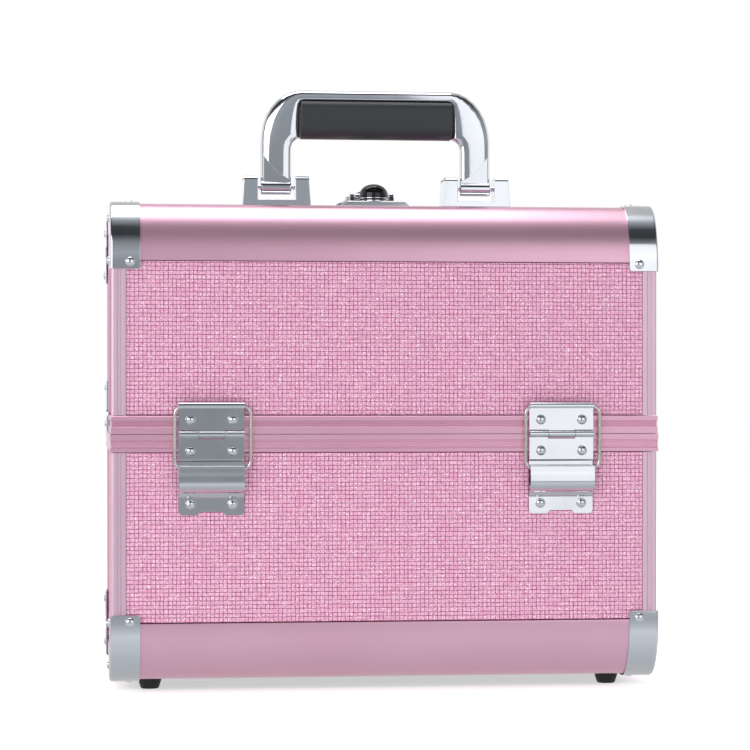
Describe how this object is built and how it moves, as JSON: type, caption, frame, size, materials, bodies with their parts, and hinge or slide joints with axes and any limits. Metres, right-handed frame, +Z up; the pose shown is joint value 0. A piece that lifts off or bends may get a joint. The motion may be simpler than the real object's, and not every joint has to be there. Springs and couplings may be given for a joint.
{
  "type": "makeup train case",
  "caption": "Box-shaped cosmetic case with outward-swinging lids on wire-stayed hinges, cantilever trays, fold-down carrying handle and a top latch.",
  "frame": {"origin": "floor level under the middle of the case", "axes": "+Z up, front face towards -Y, left side towards -X"},
  "size_m": [0.3264, 0.2248, 0.357],
  "materials": {
    "weave_panel": "fibreboard with a pink glitter laminate printed as a woven square grid",
    "pink_aluminium": "satin pink anodised extrusion",
    "floor_panel": "fibreboard with black laminate",
    "chrome_corner": "pressed steel, chrome plated",
    "chrome_fitting": "die-cast zinc, polished chrome",
    "hinge_steel": "nickel-plated pressed steel and wire",
    "arm_steel": "nickel-plated strip",
    "rubber": "moulded, matte",
    "black_plastic": "satin moulded",
    "tray_plastic": "satin moulded black"
  },
  "bodies": {
    "base": {"base_front_panel": "weave_panel", "base_front_round_rail": "pink_aluminium", "base_rear_panel": "weave_panel", "base_rear_round_rail": "pink_aluminium", "base_floor_panel": "floor_panel", "base_rim": "pink_aluminium", "base_left_side": "pink_aluminium", "base_right_side": "pink_aluminium", "base_front_left_corner": "chrome_corner", "foot_front_left": "rubber", "front_left_hinge_base_leaf": "hinge_steel", "base_front_right_corner": "chrome_corner", "foot_front_right": "rubber", "front_right_hinge_base_leaf": "hinge_steel", "base_rear_left_corner": "chrome_corner", "foot_rear_left": "rubber", "rear_left_hinge_base_leaf": "hinge_steel", "base_rear_right_corner": "chrome_corner", "foot_rear_right": "rubber", "rear_right_hinge_base_leaf": "hinge_steel"},
    "front_lid": {"front_lid_front_panel": "weave_panel", "front_lid_top_panel": "weave_panel", "front_lid_round_rail": "pink_aluminium", "front_lid_mouth_frame": "pink_aluminium", "front_lid_left_side": "pink_aluminium", "front_lid_left_corner": "chrome_corner", "front_left_hinge_lid_leaf": "hinge_steel", "front_lid_right_side": "pink_aluminium", "front_lid_right_corner": "chrome_corner", "front_right_hinge_lid_leaf": "hinge_steel", "handle_left_bracket": "chrome_fitting", "handle_right_bracket": "chrome_fitting", "latch_housing": "chrome_fitting"},
    "front_stays": {"front_left_stay": "hinge_steel", "front_right_stay": "hinge_steel"},
    "front_arms": {"front_left_arm": "arm_steel", "front_right_arm": "arm_steel"},
    "front_upper_tray": {"front_upper_tray": "tray_plastic"},
    "front_lower_tray": {"front_lower_tray": "tray_plastic"},
    "rear_lid": {"rear_lid_rear_panel": "weave_panel", "rear_lid_top_panel": "weave_panel", "rear_lid_round_rail": "pink_aluminium", "rear_lid_mouth_frame": "pink_aluminium", "rear_lid_left_side": "pink_aluminium", "rear_lid_left_corner": "chrome_corner", "rear_left_hinge_lid_leaf": "hinge_steel", "rear_lid_right_side": "pink_aluminium", "rear_lid_right_corner": "chrome_corner", "rear_right_hinge_lid_leaf": "hinge_steel", "latch_strike": "chrome_fitting"},
    "rear_stays": {"rear_left_stay": "hinge_steel", "rear_right_stay": "hinge_steel"},
    "rear_arms": {"rear_left_arm": "arm_steel", "rear_right_arm": "arm_steel"},
    "rear_upper_tray": {"rear_upper_tray": "tray_plastic"},
    "rear_lower_tray": {"rear_lower_tray": "tray_plastic"},
    "handle": {"handle_frame": "chrome_fitting", "handle_grip": "black_plastic"},
    "latch_flap": {"latch_flap": "chrome_fitting"},
    "latch_knob": {"latch_knob": "black_plastic"}
  },
  "joints": [
    {"name": "front_lid_hinge", "type": "hinge", "parent": "base", "child": "front_lid", "pos_m": [0, -0.1083, 0.15045], "axis": [1, 0, 0], "range_deg": [0, 90]},
    {"name": "front_stays_pivot", "type": "hinge", "parent": "front_lid", "child": "front_stays", "pos_m": [0, -0.1083, 0.16685], "axis": [1, 0, 0], "range_deg": [-63, 0]},
    {"name": "front_arms_pivot", "type": "hinge", "parent": "base", "child": "front_arms", "pos_m": [0, -0.0733, 0.14445], "axis": [1, 0, 0], "range_deg": [0, 90]},
    {"name": "front_upper_tray_pivot", "type": "hinge", "parent": "front_lid", "child": "front_upper_tray", "pos_m": [0, -0.0485, 0.2183], "axis": [1, 0, 0], "range_deg": [-90, 0]},
    {"name": "front_lower_tray_pivot", "type": "hinge", "parent": "front_lid", "child": "front_lower_tray", "pos_m": [0, -0.0784, 0.18437], "axis": [1, 0, 0], "range_deg": [-90, 0]},
    {"name": "rear_lid_hinge", "type": "hinge", "parent": "base", "child": "rear_lid", "pos_m": [0, 0.1083, 0.15045], "axis": [-1, 0, 0], "range_deg": [0, 90]},
    {"name": "rear_stays_pivot", "type": "hinge", "parent": "rear_lid", "child": "rear_stays", "pos_m": [0, 0.1083, 0.16685], "axis": [-1, 0, 0], "range_deg": [-63, 0]},
    {"name": "rear_arms_pivot", "type": "hinge", "parent": "base", "child": "rear_arms", "pos_m": [0, 0.0733, 0.14445], "axis": [-1, 0, 0], "range_deg": [0, 90]},
    {"name": "rear_upper_tray_pivot", "type": "hinge", "parent": "rear_lid", "child": "rear_upper_tray", "pos_m": [0, 0.0485, 0.2183], "axis": [-1, 0, 0], "range_deg": [-90, 0]},
    {"name": "rear_lower_tray_pivot", "type": "hinge", "parent": "rear_lid", "child": "rear_lower_tray", "pos_m": [0, 0.0784, 0.18437], "axis": [-1, 0, 0], "range_deg": [-90, 0]},
    {"name": "handle_fold", "type": "hinge", "parent": "front_lid", "child": "handle", "pos_m": [0, -0.044, 0.2983], "axis": [1, 0, 0], "range_deg": [-45, 90]},
    {"name": "latch_flap_lift", "type": "hinge", "parent": "front_lid", "child": "latch_flap", "pos_m": [0, -0.0215, 0.2947], "axis": [1, 0, 0], "range_deg": [0, 85]},
    {"name": "latch_knob_turn", "type": "hinge", "parent": "front_lid", "child": "latch_knob", "pos_m": [0, -0.034, 0.3017], "axis": [0, 0, 1], "range_deg": [0, 90]}
  ],
  "couplings": [
    {"joint": "front_stays_pivot", "follows": "front_lid_hinge", "ratio": -0.698},
    {"joint": "front_arms_pivot", "follows": "front_lid_hinge", "ratio": 1},
    {"joint": "front_upper_tray_pivot", "follows": "front_lid_hinge", "ratio": -1},
    {"joint": "front_lower_tray_pivot", "follows": "front_lid_hinge", "ratio": -1},
    {"joint": "rear_stays_pivot", "follows": "rear_lid_hinge", "ratio": -0.698},
    {"joint": "rear_arms_pivot", "follows": "rear_lid_hinge", "ratio": 1},
    {"joint": "rear_upper_tray_pivot", "follows": "rear_lid_hinge", "ratio": -1},
    {"joint": "rear_lower_tray_pivot", "follows": "rear_lid_hinge", "ratio": -1}
  ]
}
